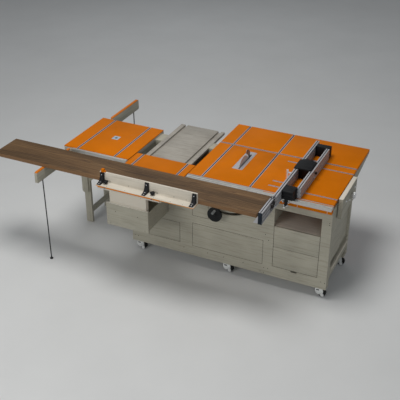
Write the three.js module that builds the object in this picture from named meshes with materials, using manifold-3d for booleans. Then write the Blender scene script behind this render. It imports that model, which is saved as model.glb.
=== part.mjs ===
// Sliding table panel saw built as a mobile workbench.
// Millimetres. Inside the bench group X runs right from the main table's left edge, Y runs back
// from its front edge and Z runs up from the table surface. The group puts the floor at Z = 0.
import * as THREE from 'three';
import { mergeVertices } from 'three/addons/utils/BufferGeometryUtils.js';
import Module from 'manifold-3d';

const wasm = await Module();
wasm.setup();

// Driving dimensions
const TABLE_HEIGHT = 940;
const CENTRE = [-172, 338.5];
const MAIN_WIDTH = 1284;
const MAIN_DEPTH = 661;
const OUTFEED_END = 1110;
const TOP_THICK = 22;
const CABINET_LEFT = -585;
const CABINET_DEPTH = 600;
const CABINET_BOTTOM = -835;
const BOARD_THICK = 18;
const FRAME_TOP = -47.3;
const BEAM_TOP = -46.3;
const LOW_TOP = -97;
const TRACKS_X = [127, 566];
const TRACK_WIDTH = 20;
const GROOVE_DEPTH = 12;
const BLADE_X = 353;
const BLADE_Y = 375;
const BLADE_Z = -57;
const BLADE_RADIUS = 127;
const TILT_ARC = 313.6;
const HANDWHEEL = [280, -305];
const END_KNOB = [402, -101];
const ROUTER = [-1265, -595, 0, 678];
const ROUTER_THICK = 45;
const ROUTER_SPINDLE = [-915, 337];
const CARRIAGE = [-585, -6, -527, 150];
const CARRIAGE_THICK = 20;
const FENCE_HEIGHT = 100;
const ARM_X = -1189.5;
const ARM_PIVOTS = [-42, 719];
const ARM_REACH = 512;
const ROD_REACH = 423;
const WHEEL_RADIUS = 37.5;
const WHEEL_TRAIL = 26;
const CASTERS = [
  ['front_left', -530, 55],
  ['front_middle', 352, 55],
  ['front_right', 1215, 55],
  ['rear_left', -530, 560],
  ['rear_right', 1226, 585],
];

// Materials
function material(color, roughness, metalness) {
  return new THREE.MeshStandardMaterial({ color, roughness, metalness });
}
const ORANGE = material(0xc66e0c, 0.45, 0);
const PLY = material(0xc8beaf, 0.6, 0);
const ALUMINIUM = material(0xb4b4b9, 0.35, 0.9);
const BLACK = material(0x161819, 0.4, 0);
const STEEL = material(0x8e9194, 0.3, 1);
const CHROME = material(0xd0d4d8, 0.15, 1);
const WALNUT = material(0x6b5236, 0.5, 0);
const RUBBER = material(0x1b1b1c, 0.8, 0);

const bench = new THREE.Group();
bench.position.set(-CENTRE[0], -CENTRE[1], TABLE_HEIGHT);

function add(name, geometry, look, position = [0, 0, 0]) {
  const mesh = new THREE.Mesh(geometry, look);
  mesh.name = name;
  mesh.position.set(...position);
  bench.add(mesh);
  return mesh;
}

// Solid helpers
function toSolid(geometry) {
  const bare = geometry.clone();
  bare.deleteAttribute('normal');
  bare.deleteAttribute('uv');
  const merged = mergeVertices(bare, 1e-4);
  return new wasm.Manifold(new wasm.Mesh({
    numProp: 3,
    vertProperties: new Float32Array(merged.attributes.position.array),
    triVerts: new Uint32Array(merged.index.array),
  }));
}

function toGeometry(solid) {
  const mesh = solid.getMesh();
  const geometry = new THREE.BufferGeometry();
  geometry.setAttribute('position', new THREE.BufferAttribute(mesh.vertProperties, 3));
  geometry.setIndex(new THREE.BufferAttribute(mesh.triVerts, 1));
  geometry.computeVertexNormals();
  return geometry;
}

function union(parts) {
  return toGeometry(parts.map(toSolid).reduce((a, b) => a.add(b)));
}

function cut(body, tools) {
  return toGeometry(tools.map(toSolid).reduce((a, b) => a.subtract(b), toSolid(body)));
}

function block(x0, x1, y0, y1, z0, z1) {
  const geometry = new THREE.BoxGeometry(x1 - x0, y1 - y0, z1 - z0);
  return geometry.translate((x0 + x1) / 2, (y0 + y1) / 2, (z0 + z1) / 2);
}

// A prism along one axis. Profile points are [y, z] for x, [x, z] for y and [x, y] for z.
const BASES = {
  x: [[0, 1, 0], [0, 0, 1], [1, 0, 0]],
  y: [[0, 0, 1], [1, 0, 0], [0, 1, 0]],
  z: [[1, 0, 0], [0, 1, 0], [0, 0, 1]],
};
function prism(axis, points, from, to, holes = []) {
  const order = (p) => (axis === 'y' ? new THREE.Vector2(p[1], p[0]) : new THREE.Vector2(p[0], p[1]));
  const outline = points.map(order);
  if (THREE.ShapeUtils.isClockWise(outline)) {
    outline.reverse();
  }
  const shape = new THREE.Shape(outline);
  shape.holes = holes.map((hole) => new THREE.Path(hole.map(order)));
  const geometry = new THREE.ExtrudeGeometry(shape, { depth: to - from, bevelEnabled: false });
  geometry.translate(0, 0, from);
  const basis = new THREE.Matrix4();
  basis.makeBasis(...BASES[axis].map((v) => new THREE.Vector3(...v)));
  return geometry.applyMatrix4(basis);
}

// A cylinder along one axis between two stations, centred on the two other coordinates.
function rod(axis, radius, from, to, a, b, segments = 32) {
  const circle = [];
  for (let i = 0; i < segments; i++) {
    const t = (2 * Math.PI * i) / segments;
    circle.push([a + radius * Math.cos(t), b + radius * Math.sin(t)]);
  }
  return prism(axis, circle, from, to);
}

// Points on an arc in degrees, counted from the first profile direction.
function arc(a, b, radius, start, end, steps) {
  const points = [];
  for (let i = 0; i <= steps; i++) {
    const t = THREE.MathUtils.degToRad(start + ((end - start) * i) / steps);
    points.push([a + radius * Math.cos(t), b + radius * Math.sin(t)]);
  }
  return points;
}

function rectangle(a0, a1, b0, b1) {
  return [[a0, b0], [a1, b0], [a1, b1], [a0, b1]];
}

// Shallow line cut into the front face around a panel.
function panelGroove(x0, x1, z0, z1) {
  const w = 3;
  const d = 4;
  return [
    block(x0 - w, x1 + w, -1, d, z0 - w, z0),
    block(x0 - w, x1 + w, -1, d, z1, z1 + w),
    block(x0 - w, x0, -1, d, z0 - w, z1 + w),
    block(x1, x1 + w, -1, d, z0 - w, z1 + w),
  ];
}

// Cabinet
const arcSlot = [
  ...arc(BLADE_X, 0, TILT_ARC - 13, 253.5, 308, 16),
  ...arc(BLADE_X, 0, TILT_ARC + 13, 308, 253.5, 16),
];
const faceOpenings = [
  rectangle(-568, -204, -443, LOW_TOP),
  rectangle(-540, -90, -730, -522),
  [[795, -731], [965, -731], [965, -745], [1020, -745], [1020, -731], [1201, -731], [1201, -150], [795, -150]],
  arcSlot,
];
const facePlate = prism('y', rectangle(CABINET_LEFT, MAIN_WIDTH, CABINET_BOTTOM, FRAME_TOP),
  0, BOARD_THICK, faceOpenings);
add('face_frame', cut(facePlate, [
  ...panelGroove(36, 186, -412, -200),
  ...panelGroove(36, 702, -732, -494),
]), PLY);
add('side_left', block(-585, -567, 18.3, CABINET_DEPTH, CABINET_BOTTOM, LOW_TOP), PLY);
add('side_right', block(1204, 1222, 18.3, CABINET_DEPTH, CABINET_BOTTOM, FRAME_TOP), PLY);
add('carcass_inner', union([
  block(-566.7, 1203.7, 18.3, CABINET_DEPTH, CABINET_BOTTOM, -817),
  block(-566.7, 1203.7, 582, CABINET_DEPTH, CABINET_BOTTOM, LOW_TOP),
  block(-3, 1203.7, 582, CABINET_DEPTH, -120, FRAME_TOP),
  block(-75, -57, 18.3, 590, -820, LOW_TOP),
  block(765, 783, 18.3, 590, -820, FRAME_TOP),
]), PLY);
add('niche_shelf', block(783.3, 1203.7, 18.3, 581.7, -341, -323), PLY);
add('right_end_frame', union([
  block(1222.3, MAIN_WIDTH, 18.3, 75, CABINET_BOTTOM, FRAME_TOP),
  block(1266, MAIN_WIDTH, 74, 330, -592, FRAME_TOP),
  block(1248, 1266.5, 320, 600, -640, FRAME_TOP),
  block(1250, 1266.5, 595, 610, -640, -112),
  block(1266, MAIN_WIDTH, 74, 601, -755, -636),
  block(1283, 1296, 76, 560, -676, -640),
  block(1250, MAIN_WIDTH, 600.5, 640, CABINET_BOTTOM, -112),
  block(1222.3, MAIN_WIDTH, 540, 640, CABINET_BOTTOM, -817),
  block(1283, 1293, 150, 300, -180, -120),
  block(1291, 1326, 120, 546, -185, -1),
]), PLY);

// Main and outfeed tables
function trackCuts(xs, y0, y1) {
  return xs.map((x) => block(x - TRACK_WIDTH / 2, x + TRACK_WIDTH / 2, y0 - 1, y1 + 1, -GROOVE_DEPTH, 1));
}
const mainSlab = block(0, MAIN_WIDTH, 0, MAIN_DEPTH, -TOP_THICK, 0);
add('main_table_top', cut(mainSlab, [
  ...trackCuts(TRACKS_X, 0, MAIN_DEPTH),
  block(693, MAIN_WIDTH + 1, 565, 581, -GROOVE_DEPTH, 1),
  block(691, MAIN_WIDTH + 1, 88, 104, -GROOVE_DEPTH, 1),
  block(697, 832, 176, 192, -GROOVE_DEPTH, 1),
  block(297, 393, 243, 604, -6.3, 1),
  block(307, 389, 248, 598, -TOP_THICK - 1, 1),
]), ORANGE);
const outfeedSlab = block(0, MAIN_WIDTH, MAIN_DEPTH + 0.5, OUTFEED_END, -TOP_THICK, 0);
add('outfeed_table_top', cut(outfeedSlab, [
  ...trackCuts(TRACKS_X, MAIN_DEPTH, OUTFEED_END),
  block(-1, MAIN_WIDTH + 1, 667, 687, -GROOVE_DEPTH, 1),
]), ORANGE);
const gusset = [[600.5, -110], [690, -110], [1098, -36], [1098, -22.3], [600.5, -22.3]];
add('outfeed_frame', union([
  prism('x', gusset, 0, 22),
  prism('x', gusset, 630, 652),
  prism('x', gusset, MAIN_WIDTH - 22, MAIN_WIDTH),
  block(0, MAIN_WIDTH, 600.5, 622, -110, -22.3),
]), PLY);
const railProfile = [
  [-62, -30], [-0.5, -30], [-0.5, -3], [-12, -3], [-12, -10], [-22, -10], [-22, -3],
  [-40, -3], [-40, -8], [-54, -8], [-54, -4], [-62, -4],
];
add('front_rail', prism('x', railProfile, 0, MAIN_WIDTH), ALUMINIUM);
add('front_apron', block(0, MAIN_WIDTH, -42, -0.5, -68, -30.5), ORANGE);
add('throat_insert', cut(block(297.3, 392.7, 243.3, 603.7, -6, -0.3), [
  block(350, 363, 252, 556, -10, 1),
]), ALUMINIUM);

// Platform under the carriage
add('platform', cut(block(-523, -66, -5, 920, -45.7, -22), [
  block(-481, -454, -6, 921, -39.5, 1),
  block(-131, -100, -6, 921, -39.5, 1),
]), PLY);

// Router table
const [RX0, RX1, RY0, RY1] = ROUTER;
const [SX, SY] = ROUTER_SPINDLE;
add('router_table_top', cut(block(RX0, RX1, RY0, RY1, -ROUTER_THICK, 0), [
  ...trackCuts([-1121, -734], RY0, RY1),
  block(SX - 33, SX + 33, SY - 35, SY + 35, -6.3, 1),
  block(SX - 25, SX + 25, SY - 27, SY + 27, -ROUTER_THICK - 1, 1),
]), ORANGE);
add('router_insert', cut(block(SX - 32.7, SX + 32.7, SY - 34.7, SY + 34.7, -6, -0.3), [
  rod('z', 13, -10, 1, SX, SY, 28),
]), ALUMINIUM);
add('router_front_rail', block(-1165, -600, -25, -0.5, -40, -3), ALUMINIUM);
const subframe = cut(block(-1250, -598, 2, 676, -125, -45.4), [block(-1228, -620, 24, 654, -130, -40)]);
add('router_subframe', union([
  subframe,
  block(-640, -3, 70, 130, -96.7, BEAM_TOP),
  block(-640, -3, 560, 620, -96.7, BEAM_TOP),
  block(-594.5, -523.5, 505, 645, -96.7, -24),
  block(-65.5, -3, 553, 668, -96.7, -24),
  block(ARM_X - 14.5, ARM_X + 14.5, -56, 3, -116, -106),
  block(ARM_X - 14.5, ARM_X + 14.5, 675, 734, -116, -106),
]), PLY);
const kneeProfile = [[-1262, -130], [-1196, -130], [-1196, -588], [-1207, -600], [-1250, -600], [-1262, -585]];
const braceProfile = [[-1183, -484], [-824.4, -125.4], [-875.4, -125.4], [-1183, -433]];
add('left_leg_frame', union([
  block(-1250, -1182, 240, 266, -TABLE_HEIGHT, -125.4),
  block(-1250, -1182, 570, 596, -TABLE_HEIGHT, -125.4),
  block(-1213, -1182.5, 265, 571, -828, -785),
  prism('y', braceProfile, 246, 264),
  prism('y', braceProfile, 572, 590),
  prism('y', kneeProfile, 222, 241),
  prism('y', kneeProfile, 595, 614),
]), PLY);
add('router_motor', union([
  rod('z', 44, -260, -60, SX, SY, 32),
  rod('z', 14, -62, -26, SX, SY, 20),
  rod('z', 6, -28, -3, SX, SY, 16),
]), BLACK);

// Carriage, crosscut fence and the board lying on it
const [CX0, CX1, CY0, CY1] = CARRIAGE;
add('carriage_top', cut(block(CX0, CX1, CY0, CY1, -CARRIAGE_THICK, 0), trackCuts([-516, -77], CY0, CY1)), ORANGE);
add('carriage_underframe', union([
  block(CX0 + 4, CX1 - 4, CY0 + 42, CY0 + 60, -45, -20.3),
  block(-478, -457, CY0 + 44, 145, -38, -20.3),
  block(-126, -105, CY0 + 44, 145, -38, -20.3),
]), PLY);
add('crosscut_fence', union([
  block(-600, 298, -530, -441, 0.5, 10.5),
  block(-600, 298, -452, -440, 0.5, FENCE_HEIGHT),
]), PLY);
const bracketProfile = [
  [-452.3, 10.8], [-452.3, 95], [-458, 96], [-464, 90], [-467, 70], [-473, 50], [-483, 34], [-497, 24],
  [-514, 18], [-527, 15], [-528, 10.8],
];
[['left', -592], ['middle', -170], ['right', 258]].forEach(([side, x]) => {
  add(`fence_bracket_${side}`, prism('x', bracketProfile, 0, 34), BLACK, [x, 0, 0]);
});
function knob() {
  const profile = [[0, 0], [8, 0], [8, 8], [18, 11], [21, 17], [20, 25], [14, 29], [0, 30]];
  const geometry = new THREE.LatheGeometry(profile.map((p) => new THREE.Vector2(...p)), 24);
  return geometry.rotateX(Math.PI / 2);
}
add('clamp_knob_left', toGeometry(toSolid(knob())), BLACK, [-530, -484, 10.8]);
add('clamp_knob_right', toGeometry(toSolid(knob())), BLACK, [-88, -484, 10.8]);
add('fence_stop', union([
  block(-582, -557, -462, -438, FENCE_HEIGHT + 0.3, 127),
  block(-558, -544, -457, -440, FENCE_HEIGHT + 0.3, 112),
]), ORANGE);
add('workpiece_board', block(-1702, 798, -439.5, -130, 0.6, 33), WALNUT);

// Rip fence
function slottedProfile(x, y0, y1) {
  const s = [
    [0, 0.5], [30, 0.5],
    [30, 16], [25, 16], [25, 24], [30, 24],
    [30, 46], [25, 46], [25, 54], [30, 54],
    [30, 76], [25, 76], [25, 84], [30, 84],
    [30, 100], [19, 100], [19, 94], [11, 94], [11, 100], [0, 100],
    [0, 84], [5, 84], [5, 76], [0, 76],
    [0, 54], [5, 54], [5, 46], [0, 46],
    [0, 24], [5, 24], [5, 16], [0, 16],
  ];
  return prism('y', s.map(([a, z]) => [a + x, z]), y0, y1);
}
add('rip_profile_left', slottedProfile(848, -228, 880), ALUMINIUM);
add('rip_profile_right', slottedProfile(978, -13, 757), ALUMINIUM);
add('rip_extension', union([
  slottedProfile(841, -512, -240),
  block(841, 871, -516, -511, 0.5, 100),
  block(852, 868, -241, -228.3, 10, 92),
  prism('y', [[798, 0.5], [842, 0.5], [842, 60], [834, 60]], -512, -504),
]), ALUMINIUM);
add('rip_block_rear', union([
  block(878.3, 977.7, 768, 828, 4, 99),
  block(970, 1008, 757.3, 828, 4, 99),
]), BLACK);
add('rip_block_middle', union([
  block(878.3, 977.7, 308, 440, 4, 100.6),
  prism('z', [[844, 280], [990, 285], [993, 446], [900, 473], [844, 442]], 100.4, 112),
]), BLACK);
const headProfile = [
  [-36, 0.5], [-36, 99], [-104, 99], [-110, 93], [-110, 76], [-106, 74], [-110, 72],
  [-110, 50], [-106, 48], [-110, 46], [-110, 20], [-66, 20], [-66, 0.5],
];
add('rip_block_front', union([
  prism('x', headProfile, 879, 974),
  block(904, 924, -104, -66, -38, 21),
  block(878.3, 977.7, -37, 0, 2, 92),
]), BLACK);
add('rip_lever', union([
  rod('x', 9, 890, 930, -78, -50),
  block(902, 918, -120, -78, -56, -46),
]), CHROME);

// Saw unit: tilting frame, lifting motor with riving knife, blade and handwheel
function atBlade(points) {
  return points.map(([x, z]) => [x + BLADE_X, z]);
}
const frontCradle = atBlade([[-30, -80], [30, -80], [77, -150], [77, -330], [-91, -330], [-91, -270], [-45, -200]]);
const rearCradle = atBlade([[-30, -80], [30, -80], [77, -150], [77, -330], [20, -330], [-30, -200]]);
add('tilt_frame', union([
  prism('y', frontCradle, 60.6, 72),
  prism('y', rearCradle, 562, 574),
  block(BLADE_X + 47, BLADE_X + 77, 62, 573, -330, -250),
]), STEEL);
const knifeProfile = [
  ...arc(BLADE_Y, BLADE_Z, BLADE_RADIUS + 4, -12, 64, 12),
  [BLADE_Y + 56, 86],
  [BLADE_Y + 64, 94],
  [BLADE_Y + 95, 87],
  [BLADE_Y + 132, 66],
  [BLADE_Y + 147, 38],
  ...arc(BLADE_Y, BLADE_Z, BLADE_RADIUS + 29, 20, -12, 5),
];
add('saw_motor', union([
  block(286, 342, BLADE_Y - 40, BLADE_Y + 40, -200, -40),
  rod('x', 58, 90, 288, BLADE_Y, -150, 40),
  rod('x', 24, 300, 347.6, BLADE_Y, BLADE_Z, 28),
  block(286, 398, BLADE_Y - 15, BLADE_Y + 15, -232, -199),
  block(338, 347.6, BLADE_Y + 30, BLADE_Y + 156, -92, -66),
  block(338, 356, BLADE_Y + 131, BLADE_Y + 156, -92, -66),
  prism('x', knifeProfile, 351.9, 354.1),
]), STEEL);
const TEETH = 36;
const bladeRim = [];
for (let i = 0; i < TEETH; i++) {
  const t = (2 * Math.PI * i) / TEETH;
  const step = (2 * Math.PI) / TEETH;
  [[0, BLADE_RADIUS], [0.14, BLADE_RADIUS], [0.3, BLADE_RADIUS - 9], [0.8, BLADE_RADIUS - 5]].forEach(([k, r]) => {
    bladeRim.push([BLADE_Y + r * Math.cos(t + k * step), BLADE_Z + r * Math.sin(t + k * step)]);
  });
}
add('saw_blade', union([
  prism('x', bladeRim, 351.6, 354.4),
  rod('x', 25, 348, 358, BLADE_Y, BLADE_Z, 32),
  rod('x', 10, 357, 364, BLADE_Y, BLADE_Z, 6),
]), CHROME);
const [HX, HZ] = HANDWHEEL;
add('handwheel', union([
  rod('y', 62, -76, -62, HX, HZ, 48),
  rod('y', 66, -80, -58, HX, HZ, 48),
  rod('y', 20, -88, -50, HX, HZ, 24),
  rod('y', 10, -52, 60, HX, HZ, 20),
  rod('y', 11, -136, -74, HX + 7, HZ + 47, 18),
]), BLACK);

// Support arms of the router table, each with a rod leg
function armProfile(pivot, way) {
  const y = (d) => pivot + way * d;
  return [
    [y(0), -105.5], [y(0), -0.6], [y(ARM_REACH - 18), -0.6], [y(ARM_REACH - 8), -4], [y(ARM_REACH - 2), -12],
    [y(ARM_REACH), -22], [y(ARM_REACH), -100], [y(ARM_REACH - 6), -105.5],
  ];
}
[['front', ARM_PIVOTS[0], -1], ['rear', ARM_PIVOTS[1], 1]].forEach(([side, pivot, way]) => {
  add(`arm_${side}`, union([
    prism('x', armProfile(pivot, way), ARM_X - 12.5, ARM_X + 12.5),
    rod('z', 12.5, -105.5, -0.6, ARM_X, pivot, 24),
  ]), PLY);
  const footY = pivot + way * ROD_REACH;
  add(`rod_leg_${side}`, union([
    rod('z', 5, -TABLE_HEIGHT + 4, -106, ARM_X, footY, 16),
    rod('z', 15, -TABLE_HEIGHT, -TABLE_HEIGHT + 8, ARM_X, footY, 24),
  ]), BLACK);
});

// Drawers
function drawer(front, box, extra = []) {
  const [fx0, fx1, fz0, fz1, fy] = front;
  const [x0, x1, depth, z0, z1] = box;
  const y0 = fy + BOARD_THICK;
  const tray = cut(block(x0, x1, y0 - 0.5, y0 + depth, z0, z1), [
    block(x0 + 12, x1 - 12, y0 + 0.5, y0 + depth - 12, z0 + 10, z1 + 1),
  ]);
  return union([block(fx0, fx1, fy, y0, fz0, fz1), tray, ...extra]);
}
add('drawer_left_upper', drawer([-595, -187, -442, -225, -400], [-565, -207, 530, -440, -262], [
  block(-566, -212, -383, -340, -435, -102),
]), PLY);
add('drawer_left_lower', drawer([-538, -92, -728, -524, 0], [-530, -100, 530, -722, -540]), PLY);
add('drawer_right_upper', drawer([797, 1199, -526, -324, 0], [803, 1193, 530, -520, -346]), PLY);
add('drawer_right_lower', drawer([797, 1199, -729, -530, 0], [803, 1193, 530, -722, -546]), PLY);

// Star knob on the right end
const [KNOB_Y, KNOB_Z] = END_KNOB;
const star = [];
for (let i = 0; i < 40; i++) {
  const t = (2 * Math.PI * i) / 40;
  const r = 26 + 6 * Math.cos(5 * t);
  star.push([KNOB_Y + r * Math.cos(t), KNOB_Z + r * Math.sin(t)]);
}
add('end_knob', union([
  prism('x', star, 1338, 1358),
  rod('x', 12, 1326.3, 1339, KNOB_Y, KNOB_Z, 20),
]), CHROME);

// Casters
function casterFork() {
  const cheek = [
    [-31, -862], [34, -862], [40, -885], [38, -915], [26, -928], [12, -920], [-4, -922], [-22, -914], [-33, -890],
  ];
  return union([
    rod('z', 28, -850, -835.4, 0, 0, 24),
    block(-31, 34, -17, 17, -863, -849),
    prism('y', cheek, -17, -13),
    prism('y', cheek, 13, 17),
  ]);
}
CASTERS.forEach(([place, x, y]) => {
  add(`caster_fork_${place}`, casterFork(), PLY, [x, y, 0]);
  const wheel = union([
    rod('y', WHEEL_RADIUS, -10, 10, WHEEL_TRAIL, WHEEL_RADIUS - TABLE_HEIGHT, 32),
    rod('y', 14, -12.5, 12.5, WHEEL_TRAIL, WHEEL_RADIUS - TABLE_HEIGHT, 20),
  ]);
  add(`caster_wheel_${place}`, wheel, RUBBER, [x, y, 0]);
});

export default bench;
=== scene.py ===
"""Looks of the sliding table panel saw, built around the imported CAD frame."""

import math
from collections import namedtuple

import bmesh
import bpy
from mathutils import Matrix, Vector


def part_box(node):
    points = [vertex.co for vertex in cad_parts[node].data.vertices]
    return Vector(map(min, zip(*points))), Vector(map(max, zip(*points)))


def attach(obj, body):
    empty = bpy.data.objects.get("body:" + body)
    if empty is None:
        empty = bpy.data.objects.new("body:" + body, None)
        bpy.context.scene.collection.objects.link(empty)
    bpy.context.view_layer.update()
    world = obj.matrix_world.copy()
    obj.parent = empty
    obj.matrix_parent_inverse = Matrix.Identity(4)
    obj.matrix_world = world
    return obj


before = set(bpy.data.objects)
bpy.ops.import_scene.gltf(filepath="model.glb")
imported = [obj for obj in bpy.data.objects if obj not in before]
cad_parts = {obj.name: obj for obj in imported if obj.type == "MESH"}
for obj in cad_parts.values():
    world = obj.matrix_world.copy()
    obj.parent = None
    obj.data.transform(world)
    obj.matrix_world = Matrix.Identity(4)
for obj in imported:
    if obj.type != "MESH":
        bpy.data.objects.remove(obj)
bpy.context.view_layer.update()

# Every size below is in millimetres from the front left corner of the main table's surface:
# X right, Y back, Z up. at() turns it into the frame's metres, and box_of() reads a CAD node's
# box from the frame in the same millimetres.
TABLE_LOW, TABLE_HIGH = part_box("main_table_top")
ORIGIN = Vector((TABLE_LOW.x, TABLE_LOW.y, TABLE_HIGH.z))
Box = namedtuple("Box", "x0 x1 y0 y1 z0 z1")


def at(x, y, z):
    return ORIGIN + Vector((x, y, z)) / 1000


def box_of(node):
    """Where a CAD node lies at rest, in those millimetres."""
    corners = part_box(node)
    return Box(*(round(1000 * (corner[i] - ORIGIN[i]), 2) for i in range(3) for corner in corners))


# ---------------------------------------------------------------- camera
camera_data = bpy.data.cameras.new("camera")
camera = bpy.data.objects.new("camera", camera_data)
bpy.context.scene.collection.objects.link(camera)
SENSOR = 36
LENS = 70.2
PITCH, YAW = 59.9, 25.3
camera_data.sensor_width = SENSOR
camera_data.lens = LENS
camera_data.clip_end = 60
camera.location = ORIGIN + Vector((2.604, -5.280, 3.145))
camera.rotation_euler = (math.radians(PITCH), 0, math.radians(YAW))
bpy.context.scene.camera = camera
bpy.context.scene.view_settings.view_transform = "Standard"


# ---------------------------------------------------------------- materials
class Nodes:
    """Small helper that adds nodes to one material."""

    def __init__(self, name):
        self.material = bpy.data.materials.new(name)
        self.material.use_nodes = True
        self.tree = self.material.node_tree
        self.tree.nodes.clear()
        self.output = self.tree.nodes.new("ShaderNodeOutputMaterial")
        self.shader = self.add("ShaderNodeBsdfPrincipled")
        self.link(self.shader, "BSDF", self.output, "Surface")

    def add(self, kind, **values):
        node = self.tree.nodes.new(kind)
        for key, value in values.items():
            setattr(node, key, value)
        return node

    def link(self, a, out, b, into):
        self.tree.links.new(a.outputs[out], b.inputs[into])

    def coords(self, scale, rotation=(0, 0, 0), location=(0, 0, 0)):
        source = self.add("ShaderNodeTexCoord")
        mapping = self.add("ShaderNodeMapping")
        mapping.inputs["Scale"].default_value = scale
        mapping.inputs["Rotation"].default_value = rotation
        mapping.inputs["Location"].default_value = location
        self.link(source, "Object", mapping, "Vector")
        return mapping

    def noise(self, scale, coords, detail=4, rough=0.55, distortion=0.0):
        node = self.add("ShaderNodeTexNoise")
        node.inputs["Scale"].default_value = scale
        node.inputs["Detail"].default_value = detail
        node.inputs["Roughness"].default_value = rough
        node.inputs["Distortion"].default_value = distortion
        self.link(coords, "Vector", node, "Vector")
        return node

    def ramp(self, source, out, stops, mode="LINEAR"):
        node = self.add("ShaderNodeValToRGB")
        node.color_ramp.interpolation = mode
        elements = node.color_ramp.elements
        while len(elements) < len(stops):
            elements.new(0.5)
        for element, (place, colour) in zip(elements, stops):
            element.position = place
            element.color = (*colour, 1) if len(colour) == 3 else colour
        self.link(source, out, node, "Fac")
        return node

    def grey(self, source, out, low, high, start=0.3, end=0.7):
        return self.ramp(source, out, [(start, (low,) * 3), (end, (high,) * 3)])

    def mix(self, a, b, factor, blend="MIX"):
        node = self.add("ShaderNodeMix", data_type="RGBA", blend_type=blend)
        for value, index in ((a, 6), (b, 7)):
            if isinstance(value, tuple):
                node.inputs[index].default_value = (*value, 1)
            else:
                self.tree.links.new(value, node.inputs[index])
        if isinstance(factor, float):
            node.inputs[0].default_value = factor
        else:
            self.tree.links.new(factor, node.inputs[0])
        return node.outputs[2]

    def bump(self, source, out, strength, distance):
        node = self.add("ShaderNodeBump")
        node.inputs["Strength"].default_value = strength
        node.inputs["Distance"].default_value = distance
        self.link(source, out, node, "Height")
        self.link(node, "Normal", self.shader, "Normal")
        return node

    def band(self, face, colour, axis, low, high):
        """Puts another colour on everything between two heights along one axis, in metres."""
        source = self.add("ShaderNodeTexCoord")
        place = self.add("ShaderNodeSeparateXYZ")
        self.link(source, "Object", place, "Vector")
        above = self.add("ShaderNodeMath", operation="GREATER_THAN")
        above.inputs[1].default_value = low
        below = self.add("ShaderNodeMath", operation="LESS_THAN")
        below.inputs[1].default_value = high
        both = self.add("ShaderNodeMath", operation="MULTIPLY")
        self.link(place, axis, above, 0)
        self.link(place, axis, below, 0)
        self.tree.links.new(above.outputs[0], both.inputs[0])
        self.tree.links.new(below.outputs[0], both.inputs[1])
        return self.mix(face, colour, both.outputs[0])

    def colour(self, socket):
        self.tree.links.new(socket, self.shader.inputs["Base Color"])

    def rough(self, node):
        self.link(node, "Color", self.shader, "Roughness")

    def set(self, **values):
        for key, value in values.items():
            self.shader.inputs[key.replace("_", " ")].default_value = value


GRAIN = {"x": (1.2, 26, 26), "y": (26, 1.2, 26), "z": (26, 26, 1.2)}


def ply(name, grain, light, dark, contrast=1.0, bands=()):
    """Pale painted plywood: faint long grain, soft blotches and fine pores.

    bands lists (colour, axis, low, high) for places with a colour of their own, and for painted light and
    shade."""
    n = Nodes(name)
    long = n.coords(GRAIN[grain])
    streaks = n.noise(3.2, long, detail=8, rough=0.62, distortion=0.35)
    base = n.ramp(streaks, "Fac", [(0.32, dark), (0.5, light), (0.72, tuple(c * 1.05 for c in light))])
    blotch = n.noise(5.0, n.coords((1, 1, 1)), detail=3)
    shade = n.grey(blotch, "Fac", 1 - 0.10 * contrast, 1.0, 0.35, 0.65)
    toned = n.mix(base.outputs["Color"], shade.outputs["Color"], 1.0, "MULTIPLY")
    fine = n.coords(tuple(s * 2.6 if s > 2 else s for s in GRAIN[grain]))
    lines = n.noise(9.0, fine, detail=5, rough=0.7)
    pores = n.grey(lines, "Fac", 1 - 0.22 * contrast, 1.0, 0.30, 0.44)
    face = n.mix(toned, pores.outputs["Color"], 0.7, "MULTIPLY")
    for band in bands:
        face = n.band(face, *band)
    n.colour(face)
    n.rough(n.grey(streaks, "Fac", 0.66, 0.52))
    n.bump(lines, "Fac", 0.25, 0.0006)
    n.set(Specular_IOR_Level=0.3)
    return n.material


def laminate(name, colour, core=None, bands=()):
    """Coloured board face with a fine orange-peel texture and faint rubbing marks.

    core is the colour of the plywood core, seen between the two heights in bands."""
    n = Nodes(name)
    even = n.coords((1, 1, 1))
    cloud = n.noise(3.0, even, detail=3)
    warm = n.ramp(cloud, "Fac", [(0.3, tuple(c * 0.90 for c in colour)),
                                 (0.7, tuple(c * 1.06 for c in colour))])
    rub = n.noise(16, n.coords((1, 9, 1), rotation=(0, 0, 0.35)), detail=6, rough=0.7)
    rubbed = n.mix(warm.outputs["Color"], tuple(min(1, c * 1.22 + 0.003) for c in colour),
                   n.grey(rub, "Fac", 0.0, 0.22, 0.55, 0.75).outputs["Color"])
    face = rubbed
    if core:
        plies = n.noise(2.5, n.coords((6, 6, 420)), detail=3)
        layer = n.ramp(plies, "Fac", [(0.35, tuple(c * 0.72 for c in core)), (0.6, core)])
        face = n.band(rubbed, layer.outputs["Color"], "Z", *bands)
    n.colour(face)
    n.rough(n.grey(rub, "Fac", 0.46, 0.60))
    peel = n.noise(900, even, detail=2)
    n.bump(peel, "Fac", 0.12, 0.0003)
    n.set(Specular_IOR_Level=0.05)
    return n.material


def metal(name, colour, axis="y", rough=(0.26, 0.42), metallic=1.0, brush=0.2, wear=0.10):
    """Brushed or drawn metal with its lines along one axis and slight soiling."""
    n = Nodes(name)
    scale = {"x": (3, 420, 420), "y": (420, 3, 420), "z": (420, 420, 3), "": (60, 60, 60)}[axis]
    lines = n.noise(1.0, n.coords(scale), detail=4, rough=0.6)
    soil = n.noise(14, n.coords((1, 1, 1)), detail=5, rough=0.65)
    base = n.ramp(soil, "Fac", [(0.3, tuple(c * (1 - wear) for c in colour)), (0.65, colour)])
    tint = n.grey(lines, "Fac", 0.90, 1.0, 0.35, 0.65)
    n.colour(n.mix(base.outputs["Color"], tint.outputs["Color"], 1.0, "MULTIPLY"))
    n.rough(n.grey(lines, "Fac", rough[0], rough[1], 0.3, 0.7))
    n.bump(lines, "Fac", brush, 0.0002)
    n.set(Metallic=metallic)
    return n.material


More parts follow.
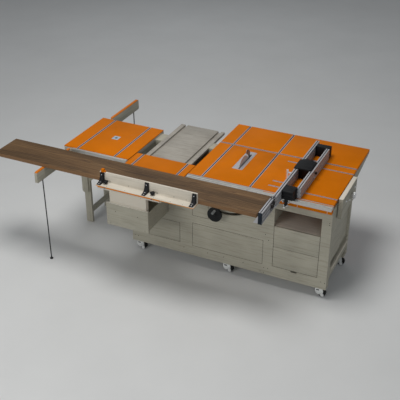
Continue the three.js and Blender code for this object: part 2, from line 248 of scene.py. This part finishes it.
def moulded(name, colour, rough=(0.42, 0.58), grain=700, strength=0.3, band=None):
    """Moulded plastic or powder coat: fine grain in the relief, lighter where hands rub it."""
    n = Nodes(name)
    even = n.coords((1, 1, 1))
    cloud = n.noise(22, even, detail=5, rough=0.6)
    base = n.ramp(cloud, "Fac", [(0.35, colour), (0.72, tuple(min(1, c * 1.5 + 0.006) for c in colour))])
    face = base.outputs["Color"]
    if band:
        face = n.band(face, *band)
    n.colour(face)
    n.rough(n.grey(cloud, "Fac", rough[0], rough[1]))
    pebble = n.noise(grain, even, detail=3)
    n.bump(pebble, "Fac", strength, 0.0004)
    n.set(Specular_IOR_Level=0.2)
    return n.material


def walnut(name):
    """Oiled walnut with long wavy figure, dark veins and open pores."""
    n = Nodes(name)
    long = n.coords((0.55, 6.5, 6.5))
    bend = n.noise(1.6, long, detail=3, distortion=0.6)
    warp = n.add("ShaderNodeVectorMath", operation="MULTIPLY_ADD")
    n.link(bend, "Color", warp, 0)
    warp.inputs[1].default_value = (0.5, 0.75, 0.75)
    n.link(long, "Vector", warp, 2)
    rings = n.add("ShaderNodeTexWave", wave_type="BANDS", bands_direction="Y", wave_profile="SAW")
    rings.inputs["Scale"].default_value = 2.3
    rings.inputs["Distortion"].default_value = 4.5
    rings.inputs["Detail"].default_value = 4
    rings.inputs["Detail Scale"].default_value = 1.1
    n.tree.links.new(warp.outputs["Vector"], rings.inputs["Vector"])
    base = n.ramp(rings, "Fac", [(0.0, (0.110, 0.058, 0.024)), (0.42, (0.152, 0.085, 0.036)),
                                 (0.78, (0.196, 0.114, 0.050)), (1.0, (0.058, 0.030, 0.015))])
    broad = n.noise(1.5, n.coords((0.7, 5, 5)), detail=4)
    tone = n.grey(broad, "Fac", 0.60, 1.16, 0.32, 0.66)
    toned = n.mix(base.outputs["Color"], tone.outputs["Color"], 1.0, "MULTIPLY")
    fine = n.noise(6.0, n.coords((2.2, 150, 150)), detail=6, rough=0.7)
    pores = n.grey(fine, "Fac", 0.60, 1.0, 0.34, 0.50)
    face = n.mix(toned, pores.outputs["Color"], 0.75, "MULTIPLY")
    # Painted highlight: a lighter line along the board's front top edge, where it catches the light.
    edge = n.ramp(fine, "Fac", [(0.3, (0.165, 0.088, 0.040)), (0.7, (0.26, 0.145, 0.068))])
    n.colour(n.band(face, edge.outputs["Color"], "Y", ORIGIN.y - 0.4400, ORIGIN.y - 0.4392))
    n.rough(n.grey(fine, "Fac", 0.62, 0.46))
    n.bump(fine, "Fac", 0.35, 0.0005)
    n.set(Specular_IOR_Level=0.25)
    return n.material


CREAM = (0.42, 0.40, 0.325)
CREAM_DARK = (0.335, 0.315, 0.25)
FENCE_CREAM = (0.66, 0.61, 0.52)
FENCE_DARK = (0.57, 0.52, 0.43)
ORANGE_TONE = (0.60, 0.158, 0.0008)
PLY_X = ply("cream_ply_x", "x", CREAM, CREAM_DARK)
PLY_Z = ply("cream_ply_z", "z", CREAM, CREAM_DARK)
ARM_PLY = ply("arm_ply", "y", CREAM, CREAM_DARK,
              bands=[(ORANGE_TONE, "Z", ORIGIN.z - 0.009, ORIGIN.z + 0.001)])
# The orange strip along the fence base is painted lighter than the orange laminate, as painted light on a
# strip that sits in shade.
FENCE_PLY = ply("fence_ply", "x", FENCE_CREAM, FENCE_DARK,
                bands=[((0.78, 0.27, 0.012), "Z", ORIGIN.z, ORIGIN.z + 0.0062)])
# The niche shelf is a pinker ply painted lighter than the cream, partly as painted light lifting the shade
# in the niche.
SHELF_PLY = ply("shelf_ply", "x", (0.62, 0.55, 0.47), (0.54, 0.47, 0.40))
# Paler cream for the low rail's ribs, a painted highlight.
RIB_HIGHLIGHT_PLY = ply("rib_highlight_ply", "y", FENCE_CREAM, FENCE_DARK)
END_PLY = ply("end_frame_ply", "y", CREAM, CREAM_DARK,
              bands=[(FENCE_CREAM, "Z", ORIGIN.z - 0.0035, ORIGIN.z + 0.001)])


GAP_SHADE_TONE = (0.045, 0.042, 0.036)
GAP_SHADE_WIDTH, GAP_SHADE_INSET = 1.7, 0.1


def seams(node, *sides):
    """Painted shade: thin dark lines just inside some sides of a drawer front, for the shade of the gap
    around it; x0 is its left side, z1 its top.
    """
    box = box_of(node)
    bands = []
    for side in sides:
        edge = getattr(box, side)
        low = edge + GAP_SHADE_INSET if side.endswith("0") else edge - GAP_SHADE_INSET - GAP_SHADE_WIDTH
        start = getattr(ORIGIN, side[0]) + low / 1000
        bands.append((GAP_SHADE_TONE, side[0].upper(), start, start + GAP_SHADE_WIDTH / 1000))
    return bands


# The right and left drawer fronts carry painted shade lines just inside their edges.
RIGHT_DRAWER = ply("right_drawer_ply", "x", CREAM, CREAM_DARK,
                   bands=seams("drawer_right_lower", "x0", "x1", "z0"))
# The rack board above the drawer front is painted in the paler fence cream, partly its own paler ply and
# partly painted light where it catches the light; the thin band along the front's top edge is a painted
# highlight.
RACK_DRAWER = ply("rack_drawer_ply", "x", CREAM, CREAM_DARK,
                  bands=[(FENCE_CREAM, "Z", ORIGIN.z - 0.224, ORIGIN.z - 0.100),
                         ((0.84, 0.81, 0.73), "Z", ORIGIN.z - 0.2265, ORIGIN.z - 0.2240)])
LEFT_DRAWER = ply("left_drawer_ply", "x", CREAM, CREAM_DARK,
                  bands=seams("drawer_left_lower", "x0", "x1", "z0", "z1"))
PLATFORM = ply("platform_ply", "x", (0.39, 0.365, 0.32), (0.30, 0.275, 0.235), contrast=1.5)
ORANGE = laminate("orange_laminate", ORANGE_TONE)
ORANGE_EDGED = laminate("orange_laminate_ply_edge", ORANGE_TONE, core=FENCE_CREAM,
                        bands=(ORIGIN.z - 0.046, ORIGIN.z - 0.009))
CARRIAGE_ORANGE = laminate("orange_laminate_carriage", ORANGE_TONE, core=FENCE_CREAM,
                           bands=(ORIGIN.z - 0.030, ORIGIN.z - 0.008))
ALUMINIUM_X = metal("aluminium_x", (0.46, 0.51, 0.58), "x", rough=(0.40, 0.56), metallic=0.35)
ALUMINIUM_Y = metal("aluminium_y", (0.46, 0.51, 0.58), "y", rough=(0.40, 0.56), metallic=0.35)
PROFILE = metal("profile_aluminium", (0.47, 0.47, 0.49), "y", rough=(0.42, 0.58), metallic=0.25)
RAIL_ALUMINIUM = metal("rail_aluminium", (0.66, 0.65, 0.62), "x", rough=(0.36, 0.52), metallic=0.7)
PLATE = metal("milled_plate", (0.50, 0.49, 0.51), "y", rough=(0.36, 0.52), metallic=0.4)
SPINDLE_PLATE = metal("spindle_plate", (0.46, 0.57, 0.66), "y", rough=(0.36, 0.5), metallic=0.3)
BLACK = moulded("black_plastic", (0.0045, 0.0050, 0.0058), rough=(0.48, 0.64))
# The handwheel's front, where the crank handle stands, is painted light grey, a painted highlight for the
# glint on the handle.
WHEEL_BLACK = moulded("handwheel_plastic", (0.0055, 0.0062, 0.0070),
                      band=((0.20, 0.215, 0.215), "Y", ORIGIN.y - 0.2, ORIGIN.y - 0.0885))
BLACK_METAL = moulded("black_metal", (0.012, 0.012, 0.014), grain=1100, strength=0.15)
STEEL = metal("grey_steel", (0.34, 0.35, 0.36), "", rough=(0.38, 0.55))
BLADE_STEEL = metal("blade_steel", (0.68, 0.65, 0.63), "", rough=(0.40, 0.54), metallic=0.15)
CHROME = metal("chrome", (0.82, 0.83, 0.84), "", rough=(0.16, 0.28), metallic=0.6, brush=0.04,
               wear=0.05)
BRIGHT_CHROME = metal("bright_chrome", (0.85, 0.86, 0.87), "", rough=(0.2, 0.32), metallic=0.3,
                      brush=0.04, wear=0.05)
WALNUT = walnut("walnut")
CASTER_GREY = moulded("caster_grey", (0.56, 0.57, 0.56), rough=(0.36, 0.5), grain=900, strength=0.15)
RUBBER = moulded("caster_rubber", (0.008, 0.008, 0.008), rough=(0.6, 0.8), grain=500)
# Near-black painted shade, put in track channels, rail joints, profile slots, drawer gaps and caster gaps
# where there is only shade.
PAINTED_SHADE = moulded("painted_shade_black", (0.009, 0.010, 0.013), rough=(0.7, 0.9))
END_CAP = moulded("end_cap", (0.006, 0.012, 0.020))
PEACH = moulded("peach_plastic", (0.66, 0.38, 0.22), grain=900, strength=0.12)
PALE_BLUE = moulded("pale_blue_plastic", (0.56, 0.62, 0.72), grain=900, strength=0.12)


# ---------------------------------------------------------------- CAD nodes
LOOKS = (
    (PLY_X, "face_frame carcass_inner outfeed_frame router_subframe carriage_underframe"),
    (PLY_Z, "side_left side_right left_leg_frame"),
    (SHELF_PLY, "niche_shelf"),
    (END_PLY, "right_end_frame"),
    (ARM_PLY, "arm_front arm_rear"),
    (FENCE_PLY, "crosscut_fence"),
    (PLATFORM, "platform"),
    (RACK_DRAWER, "drawer_left_upper"),
    (LEFT_DRAWER, "drawer_left_lower"),
    (RIGHT_DRAWER, "drawer_right_upper drawer_right_lower"),
    (ORANGE, "main_table_top outfeed_table_top front_apron fence_stop"),
    (ORANGE_EDGED, "router_table_top"),
    (CARRIAGE_ORANGE, "carriage_top"),
    (WALNUT, "workpiece_board"),
    (RAIL_ALUMINIUM, "front_rail router_front_rail"),
    (PROFILE, "rip_profile_left rip_profile_right rip_extension"),
    (PLATE, "throat_insert"),
    (SPINDLE_PLATE, "router_insert"),
    (BLACK, "fence_bracket_left fence_bracket_middle fence_bracket_right clamp_knob_left clamp_knob_right"),
    (BLACK, "rip_block_rear rip_block_middle rip_block_front"),
    (WHEEL_BLACK, "handwheel"),
    (BLACK_METAL, "router_motor rod_leg_front rod_leg_rear"),
    (STEEL, "tilt_frame saw_motor"),
    (BLADE_STEEL, "saw_blade"),
    (CHROME, "rip_lever"),
    (BRIGHT_CHROME, "end_knob"),
)
LOOK = {node: material for material, nodes in LOOKS for node in nodes.split()}
SOFT_EDGE = {"workpiece_board": 1.2, "handwheel": 1.0, "clamp_knob_left": 0.4, "clamp_knob_right": 0.4,
             "saw_blade": 0.0, "throat_insert": 0.25, "router_insert": 0.25, "rip_profile_left": 0.3,
             "rip_profile_right": 0.3, "rip_extension": 0.3, "front_rail": 0.4, "end_knob": 0.5}
DEFAULT_EDGE = 0.8
BEVEL_ANGLE = math.radians(35)
SPLIT_ANGLE = math.radians(32)


def soften(obj, width):
    """Joins the facets' corners and rounds every edge by width millimetres."""
    weld = obj.modifiers.new("weld", "WELD")
    weld.merge_threshold = 0.00001
    if width:
        bevel = obj.modifiers.new("bevel", "BEVEL")
        bevel.width = width / 1000
        bevel.segments = 2
        bevel.limit_method = "ANGLE"
        bevel.angle_limit = BEVEL_ANGLE
        bevel.harden_normals = False
        bevel.use_clamp_overlap = True
    smooth = obj.modifiers.new("smooth", "EDGE_SPLIT")
    smooth.split_angle = SPLIT_ANGLE
    for polygon in obj.data.polygons:
        polygon.use_smooth = True


def paint(obj, material):
    obj.data.materials.clear()
    obj.data.materials.append(material)


for node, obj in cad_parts.items():
    if node.startswith("caster_fork"):
        material = CASTER_GREY
    elif node.startswith("caster_wheel"):
        material = RUBBER
    else:
        material = LOOK[node]
    paint(obj, material)
    soften(obj, SOFT_EDGE.get(node, DEFAULT_EDGE))


# ---------------------------------------------------------------- mesh building
class Shape:
    """Collects solids in millimetres and turns them into one piece of the model."""

    def __init__(self):
        self.bm = bmesh.new()

    def points(self, coords):
        return [self.bm.verts.new(at(*p)) for p in coords]

    def box(self, x0, x1, y0, y1, z0, z1, chamfer=0.0):
        made = bmesh.ops.create_cube(self.bm, size=1)["verts"]
        low, high = at(x0, y0, z0), at(x1, y1, z1)
        for v in made:
            v.co = Vector([low[i] if v.co[i] < 0 else high[i] for i in range(3)])
        if chamfer:
            edges = {e for v in made for e in v.link_edges}
            bmesh.ops.bevel(self.bm, geom=list(edges), offset=chamfer / 1000, segments=2,
                            affect="EDGES", profile=0.6)
        return self

    def prism(self, axis, outline, start, end):
        """A closed outline pushed along an axis; outline points skip that axis."""
        def point(p, d):
            return {"x": (d, p[0], p[1]), "y": (p[0], d, p[1]), "z": (p[0], p[1], d)}[axis]
        first = self.points([point(p, start) for p in outline])
        second = self.points([point(p, end) for p in outline])
        count = len(outline)
        for i in range(count):
            j = (i + 1) % count
            self.bm.faces.new((first[i], first[j], second[j], second[i]))
        self.bm.faces.new(first[::-1])
        self.bm.faces.new(second)
        return self

    def turned(self, axis, centre, stations, sides=24):
        """A turned solid: stations are (place along the axis, radius)."""
        rings = []
        for d, r in stations:
            ring = []
            for k in range(sides):
                a = 2 * math.pi * k / sides
                u, v = r * math.cos(a), r * math.sin(a)
                p = {"x": (d, centre[0] + u, centre[1] + v), "y": (centre[0] + u, d, centre[1] + v),
                     "z": (centre[0] + u, centre[1] + v, d)}[axis]
                ring.append(p)
            rings.append(self.points(ring))
        for a, b in zip(rings, rings[1:]):
            for k in range(sides):
                j = (k + 1) % sides
                self.bm.faces.new((a[k], a[j], b[j], b[k]))
        self.bm.faces.new(rings[0][::-1])
        self.bm.faces.new(rings[-1])
        return self

    def screw(self, axis, place, direction, radius=3.6, height=1.4):
        """A pan-head screw; place is the surface point under the head, direction is 1 or -1."""
        index = "xyz".index(axis)
        centre = [c for i, c in enumerate(place) if i != index]
        base = place[index]
        s = direction
        outline = [(base - 0.4 * s, radius), (base + 0.55 * height * s, radius),
                   (base + 0.9 * height * s, radius * 0.82), (base + height * s, radius * 0.5)]
        self.turned(axis, centre, outline, 16)
        return self

    def piece(self, name, body, material, slot, edge=0.0):
        bmesh.ops.recalc_face_normals(self.bm, faces=self.bm.faces)
        mesh = bpy.data.meshes.new(name)
        self.bm.to_mesh(mesh)
        self.bm.free()
        obj = bpy.data.objects.new(name, mesh)
        bpy.context.scene.collection.objects.link(obj)
        mesh.materials.append(material)
        soften(obj, edge)
        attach(obj, body)
        return obj


# ---------------------------------------------------------------- T-tracks in the tables
def track_outline(middle, width, depth, gap):
    """Outline of a T-track: middle is its centre line across the run."""
    h, w = width / 2, 1.6
    g = gap / 2
    return [(middle - h, -depth), (middle + h, -depth), (middle + h, -0.15), (middle + g, -0.15),
            (middle + g, -2.2), (middle + h - w, -2.2), (middle + h - w, -depth + 1.8),
            (middle - h + w, -depth + 1.8), (middle - h + w, -2.2), (middle - g, -2.2),
            (middle - g, -0.15), (middle - h, -0.15)]


def track(name, body, along, middle, start, end, width=19.6, gap=9.5, depth=11.8):
    outline = track_outline(middle, width, depth, gap)
    Shape().prism(along, outline, start, end).piece(
        name, body, ALUMINIUM_Y if along == "y" else ALUMINIUM_X, "aluminium", 0.25)
    # Painted shadow: a near-black strip low in each track's channel.
    low = [(middle - width / 2 + 1.7, -4.0), (middle + width / 2 - 1.7, -4.0),
           (middle + width / 2 - 1.7, -3.4), (middle - width / 2 + 1.7, -3.4)]
    Shape().prism(along, low, start + 0.2, end - 0.2).piece(name + "_shadow", body, PAINTED_SHADE, "aluminium")


MAIN, OUTFEED = box_of("main_table_top"), box_of("outfeed_table_top")
ROUTER, CARRIAGE = box_of("router_table_top"), box_of("carriage_top")
CROSS_Y = 677        # centre line of the track along the outfeed table
CROSS_FRONT, CROSS_REAR = CROSS_Y - 10, CROSS_Y + 10      # edges of its slot
TRACK_END = 0.2      # each track ends this far inside its slot
CARRIAGE_END = 0.4
for label, x in (("left", 127), ("right", 566)):
    track(f"track_main_{label}", "bench", "y", x, MAIN.y0 + TRACK_END, MAIN.y1 - TRACK_END)
    track(f"track_outfeed_front_{label}", "bench", "y", x, OUTFEED.y0 + TRACK_END, CROSS_FRONT - TRACK_END)
    track(f"track_outfeed_{label}", "bench", "y", x, CROSS_REAR + TRACK_END, OUTFEED.y1 - TRACK_END)
for label, x in (("left", -1121), ("right", -734)):
    track(f"track_router_{label}", "bench", "y", x, ROUTER.y0 + TRACK_END, ROUTER.y1 - TRACK_END)
for label, x in (("left", -516), ("right", -77)):
    track(f"track_carriage_{label}", "carriage", "y", x, CARRIAGE.y0 + CARRIAGE_END, CARRIAGE.y1 - TRACK_END)
track("track_cross", "bench", "x", CROSS_Y, MAIN.x0 + TRACK_END, MAIN.x1 - TRACK_END)
track("track_fence_rear", "bench", "x", 573, 693 + TRACK_END, MAIN.x1 - TRACK_END, width=15.6, gap=6)
track("track_fence_front", "bench", "x", 96, 691 + TRACK_END, MAIN.x1 - TRACK_END, width=15.6, gap=6)
track("track_fence_short", "bench", "x", 184, 697 + TRACK_END, 832 - TRACK_END, width=15.6, gap=6)


# ---------------------------------------------------------------- screws and small fittings
def plate_screws(name, node, inset_x, inset_y, radius, extra=()):
    """Screws at a plate's four corners, and at any extra places."""
    plate = box_of(node)
    left, right = plate.x0 + inset_x, plate.x1 - inset_x
    front, rear = plate.y0 + inset_y, plate.y1 - inset_y
    screws = Shape()
    for x, y in ((left, front), (right, front), (left, rear), (right, rear), *extra):
        screws.screw("z", (x, y, plate.z1), 1, radius, 0.6)
    screws.piece(name, "bench", CHROME, "chrome")


plate_screws("insert_screws", "throat_insert", 5.7, 6.7, 3.4, extra=[(387, 424)])
plate_screws("router_plate_screws", "router_insert", 4.7, 4.7, 3.0)

FACE = box_of("face_frame")
front = Shape()
for x, z in ((-556, -776), (-524, -778), (-52, -773), (183, -770), (340, -768), (527, -772), (720, -768),
             (757, -767), (689, -814), (722, -818), (723, -426), (753, -478), (1236, -762), (1271, -767),
             (1266, -171), (1266, -190)):
    front.screw("y", (x, FACE.y0, z), -1, 3.6, 1.0)
front.piece("front_screws", "bench", BLACK_METAL, "black_metal")

OPEN_DRAWER = box_of("drawer_left_upper")
RACK_SETBACK = 17        # the rack board stands this far behind the drawer front
drawer_screws = Shape()
for x, z in ((-504, -296), (-288, -300), (-560, -420), (-222, -420)):
    drawer_screws.screw("y", (x, OPEN_DRAWER.y0, z), -1, 3.4, 1.0)
drawer_screws.screw("y", (-261, OPEN_DRAWER.y0 + RACK_SETBACK, -116), -1, 3.2, 1.0)
drawer_screws.piece("drawer_screws", "drawer_left_upper", BLACK_METAL, "black_metal")

for side in ("left", "middle", "right"):
    bracket = box_of(f"fence_bracket_{side}")
    middle = (bracket.x0 + bracket.x1) / 2
    heads = Shape()
    for y, z in ((-516, 16.5), (-496, 23)):
        heads.turned("z", (middle, y), [(z - 2, 5.4), (z + 2.5, 5.4), (z + 3.6, 4.2)], 6)
    heads.turned("y", (middle, 78), [(-466, 4.6), (-468.5, 4.6), (-469.5, 3.4)], 6)
    heads.piece(f"bracket_bolts_{side}", "carriage", CHROME, "chrome", 0.2)

BRACKET_FACE = box_of("right_end_frame").x1
bolt_profile = [(BRACKET_FACE + out, radius)
                for out, radius in ((-0.2, 10), (2, 10), (2, 7), (9, 7), (11, 5))]
bolts = Shape()
for y, z in ((478, -60), (326, -105), (221, -66)):
    bolts.turned("x", (y, z), bolt_profile, 12)
bolts.piece("bracket_bolts_end", "bench", BRIGHT_CHROME, "chrome")

UNDERFRAME = box_of("carriage_underframe")
carriage_screws = Shape()
for x in (-572, -513, -340, -166, -73, -20):
    carriage_screws.screw("y", (x, UNDERFRAME.y0, -32), -1, 3.4, 0.9)
carriage_screws.piece("carriage_screws", "carriage", STEEL, "grey_steel")

fence_screws = Shape()
for x in (-500, -330, -60, 90, 200):
    fence_screws.screw("y", (x, -452, 20), -1, 3.0, 0.8)
    fence_screws.screw("z", (x, -520, 10.5), 1, 3.0, 0.8)
fence_screws.piece("fence_screws", "carriage", BLACK_METAL, "black_metal")

LEG = box_of("left_leg_frame")
leg_screws = Shape()
for x, setback, z in ((-1217, 18, -832), (-1217, 18, -640), (-1236, 0, -170), (-1212, 0, -170),
                      (-1236, 0, -560), (-1214, 0, -560)):
    leg_screws.screw("y", (x, LEG.y0 + setback, z), -1, 3.4, 1.0)
leg_screws.piece("leg_screws", "bench", STEEL, "grey_steel")

end_screws = Shape()
for y, z in ((46, -80), (46, -330), (46, -560), (46, -700), (300, -80), (300, -560), (180, -330), (46, -800),
             (150, -694), (420, -694), (620, -694), (620, -150), (620, -420)):
    end_screws.screw("x", (FACE.x1, y, z), 1, 3.6, 1.0)
end_screws.piece("end_screws", "bench", STEEL, "grey_steel")

# Rip fence: end cap, splice plate, clamping bolts, marker flags, small knob and head ribs
PROFILE_WIDTH = 30
EXTENSION = box_of("rip_extension")
EXTENSION_LEFT = EXTENSION.x1 - PROFILE_WIDTH
Shape().box(EXTENSION_LEFT - 1.5, EXTENSION.x1 + 2.5, EXTENSION.y0 - 3.5, EXTENSION.y0 - 0.2,
            EXTENSION.z0 - 1.5, EXTENSION.z1 + 2, 1.0).piece(
    "extension_end_cap", "rip_fence", END_CAP, "black_plastic")
splice = Shape().box(EXTENSION.x1 + 0.2, EXTENSION.x1 + 4.2, -330, -243, 22, 88, 0.8)
splice.box(842, 870, -268, -243, 100.2, 102.6, 0.6)
splice.piece("splice_plate", "rip_fence", BLACK_METAL, "black_plastic")
dot_outline = [(EXTENSION.x1 + out, radius) for out, radius in ((4, 5.0), (6.6, 5.0), (7.8, 3.8))]
dots = Shape()
for y, z in ((-318, 34), (-318, 76), (-256, 34), (-256, 76)):
    dots.turned("x", (y, z), dot_outline, 12)
dots.turned("z", (856, -256), [(102.4, 4.4), (104.4, 4.4), (105, 3.6)], 12)
dots.piece("splice_bolts", "rip_fence", CHROME, "chrome")
clamps = Shape()
for x in (891, 937):
    clamps.turned("z", (x, -94), [(20.2, 4.4), (-6, 4.4), (-6, 8), (-14, 8), (-15.5, 6)], 12)
clamps.piece("head_bolts", "rip_fence", BRIGHT_CHROME, "chrome")
Shape().box(885, 943, -101, -87, -6, -2, 0.8).piece(
    "head_clamp_bar", "rip_fence", BLACK_METAL, "black_plastic")
Shape().box(784, 794, 263, 266, 2, 88, 0.6).piece("marker_flag_left", "rip_fence", PEACH, "orange_laminate")
flag = Shape().box(794, 804, 263, 266, 2, 88, 0.6)
flag.box(802, 847.8, 263.5, 269, 54, 66, 0.6)
flag.piece("marker_flag_right", "rip_fence", PALE_BLUE, "orange_laminate")
PROFILE_SIDE = box_of("rip_profile_right").x1
knob_outline = [(PROFILE_SIDE + out, radius)
                for out, radius in ((0.2, 5), (6, 5), (6, 11), (9, 13), (16, 13), (19, 10))]
Shape().turned("x", (345, 65), knob_outline, 20).piece(
    "profile_knob", "rip_fence", BLACK, "black_plastic", 0.3)
bolt_outline = [(PROFILE_SIDE + out, radius) for out, radius in ((0.2, 8), (2, 8), (2, 6), (7, 6), (8, 4.8))]
Shape().turned("x", (345, 22), bolt_outline, 6).piece(
    "profile_bolt", "rip_fence", CHROME, "chrome", 0.3)
HEAD_BLOCK = box_of("rip_block_front")
ribs = Shape()
for i in range(9):
    x = 884.5 + 10 * i
    for z0, z1 in ((24, 44), (78, 91)):
        ribs.box(x, x + 5.2, HEAD_BLOCK.y0 - 1.2, HEAD_BLOCK.y0 + 0.4, z0, z1, 0.5)
ribs.piece("head_ribs", "rip_fence", BLACK, "black_plastic")

# Rail joints filled with painted shade, apron joints and the orange strip in the rail
RAIL, APRON = box_of("front_rail"), box_of("front_apron")
joints = Shape()
for x in (298, 563, 644):
    joints.box(x, x + 1.6, RAIL.y0 - 0.3, RAIL.y0 + 0.4, RAIL.z0 + 0.4, RAIL.z1 - 1.4)
    joints.box(x, x + 1.6, RAIL.y0, RAIL.y0 + 7.8, RAIL.z1 - 1.2, RAIL.z1 - 0.8)
joints.piece("rail_joint_shade", "bench", PAINTED_SHADE, "aluminium")
strips = Shape()
for x in (994, 1245):
    strips.box(x, x + 3.0, APRON.y0 - 0.6, APRON.y0 + 0.4, APRON.z0 + 1, APRON.z1 - 1, 0.2)
strips.piece("apron_seams", "bench", FENCE_PLY, "cream_ply")

Shape().box(690, RAIL.x1 - 0.2, -21.7, -12.3, -9.9, RAIL.z1 - 0.8, 0.2).piece(
    "rail_strip", "bench", ORANGE, "orange_laminate")

# Ribs on the low rail at the right end, in paler cream as a painted highlight where the ribbed rail catches
# the light
ribs = Shape()
for i in range(40):
    y = 79 + 12 * i
    ribs.box(1285, 1295.5, y, y + 6.5, -640.3, -638.4, 0.4)
    ribs.box(1295.7, 1297.6, y, y + 6.5, -673, -642, 0.4)
ribs.piece("low_rail_ribs", "bench", RIB_HIGHLIGHT_PLY, "cream_ply")

# Painted shade: dark lines in the long slots of the fence profiles
LEFT_PROFILE, RIGHT_PROFILE = box_of("rip_profile_left"), box_of("rip_profile_right")
for label, x, y0, y1 in (("left", LEFT_PROFILE.x0, LEFT_PROFILE.y0, LEFT_PROFILE.y1),
                         ("right", RIGHT_PROFILE.x0, RIGHT_PROFILE.y0, RIGHT_PROFILE.y1),
                         ("extension", EXTENSION_LEFT, EXTENSION.y0 + 6, -242)):
    lines = Shape()
    lines.box(x + 11.2, x + 18.8, y0 + 0.5, y1 - 0.5, 94.2, 95.6)
    for z in (16, 46, 76):
        for side in (x + 5.1, x + 24.1):
            lines.box(side - 0.3, side + 1.1, y0 + 0.5, y1 - 0.5, z + 0.3, z + 7.7)
    lines.piece(f"profile_slot_shade_{label}", "rip_fence", PAINTED_SHADE, "aluminium")

# Shadow liners at the bottom of the panel grooves and inside the drawer gaps
FRONT_PANELS = ((36, 186, -412, -200), (36, 702, -732, -494))
LOWER_LEFT, LOWER_RIGHT = box_of("drawer_left_lower"), box_of("drawer_right_lower")
UPPER_RIGHT = box_of("drawer_right_upper")
GAP_NEAR, GAP_FAR = 0.6, 1.9     # a liner's distances from the drawer front beside it


def side_and_bottom_gaps(x0, x1, z0, top):
    """Strips (x0, x1, z0, z1) beside and below drawer fronts; the side ones run up to top."""
    return [(x0 - GAP_FAR, x0 - GAP_NEAR, z0 - GAP_FAR, top),
            (x1 + GAP_NEAR, x1 + GAP_FAR, z0 - GAP_FAR, top),
            (x0 - GAP_FAR, x1 + GAP_FAR, z0 - GAP_FAR, z0 - GAP_NEAR)]


liners = Shape()
for x0, x1, z0, z1 in FRONT_PANELS:
    near, far = 0.1, 2.9
    for left, right, low, high in ((x0 - far, x1 + far, z0 - far, z0 - near),
                                   (x0 - far, x1 + far, z1 + near, z1 + far),
                                   (x0 - far, x0 - near, z0 - near, z1 + near),
                                   (x1 + near, x1 + far, z0 - near, z1 + near)):
        liners.box(left, right, 1.6, 4.1, low, high)
gaps = side_and_bottom_gaps(LOWER_LEFT.x0, LOWER_LEFT.x1, LOWER_LEFT.z0, LOWER_LEFT.z1 + GAP_FAR)
gaps.append((LOWER_LEFT.x0 - GAP_FAR, LOWER_LEFT.x1 + GAP_FAR,
             LOWER_LEFT.z1 + GAP_NEAR, LOWER_LEFT.z1 + GAP_FAR))
gaps += side_and_bottom_gaps(LOWER_RIGHT.x0, LOWER_RIGHT.x1, LOWER_RIGHT.z0, UPPER_RIGHT.z1 - 0.1)
for left, right, low, high in gaps:
    liners.box(left, right, 2.5, 17.5, low, high)
liners.piece("gap_shadow_liners", "bench", PAINTED_SHADE, "cream_ply")

# Casters: painted shade in the bearing gap, brake pedal and axle nut on each fork
SWIVEL_OFFSET = 33       # from a fork's left edge to its swivel axis
for place in ("front_left", "front_middle", "front_right", "rear_left", "rear_right"):
    body = f"caster_fork_{place}"
    fork = box_of(body)
    x, y = fork.x0 + SWIVEL_OFFSET, (fork.y0 + fork.y1) / 2
    Shape().box(x - 21, x + 5, y - 17.8, y - 16.8, -882, -872, 0.3).piece(
        f"caster_gap_shade_{place}", body, PAINTED_SHADE, "caster_rubber")
    outline = [(x + 12, -908), (x + 44, -904), (x + 50, -922), (x + 40, -934), (x + 24, -930)]
    pedal = Shape().prism("y", outline, y - 26, y - 17.2)
    pedal.turned("y", (x + 26, -902.5), [(y - 17, 8), (y - 20.5, 8), (y - 21.5, 6)], 6)
    pedal.piece(f"caster_pedal_{place}", body, CASTER_GREY, "caster_grey", 1.2)

# ---------------------------------------------------------------- floor, light and world
floor_mesh = bpy.data.meshes.new("floor")
fb = bmesh.new()
bmesh.ops.create_grid(fb, x_segments=1, y_segments=1, size=30)
fb.to_mesh(floor_mesh)
fb.free()
floor = bpy.data.objects.new("floor", floor_mesh)
bpy.context.scene.collection.objects.link(floor)
floor.location = (0, 0, -0.0005)
floor_nodes = Nodes("floor_paint")
mottle = floor_nodes.noise(1.4, floor_nodes.coords((1, 1, 1)), detail=3)
FLOOR_TONES = [(0.3, (0.66, 0.67, 0.67)), (0.7, (0.69, 0.70, 0.70))]
floor_nodes.colour(floor_nodes.ramp(mottle, "Fac", FLOOR_TONES).outputs["Color"])
floor_nodes.set(Roughness=0.85)
floor_mesh.materials.append(floor_nodes.material)


def area(name, location, target, size, power, colour=(1, 1, 1)):
    data = bpy.data.lights.new(name, "AREA")
    data.shape = "DISK"
    data.size = size
    data.energy = power
    data.color = colour
    light = bpy.data.objects.new(name, data)
    bpy.context.scene.collection.objects.link(light)
    light.location = location
    light.rotation_euler = (Vector(target) - Vector(location)).to_track_quat("-Z", "Y").to_euler()


area("key", (-0.2, -0.9, 6.3), (0, 0, 0.8), 2.6, 190, (1.0, 0.985, 0.96))
area("fill", (-1.6, -5.8, 2.8), (0.2, 0, 0.6), 3.0, 85, (1.0, 0.99, 0.97))
area("side", (4.2, -4.6, 2.4), (0, 0, 0.6), 2.6, 24, (0.97, 0.98, 1.0))
area("card", (-3.0, 6.3, 4.6), (0, 0, 0.9), 5.0, 35, (0.94, 0.97, 1.0))
world = bpy.data.worlds.new("world")
bpy.context.scene.world = world
world.use_nodes = True
world.node_tree.nodes["Background"].inputs["Color"].default_value = (0.9, 0.93, 0.96, 1)
world.node_tree.nodes["Background"].inputs["Strength"].default_value = 0.22
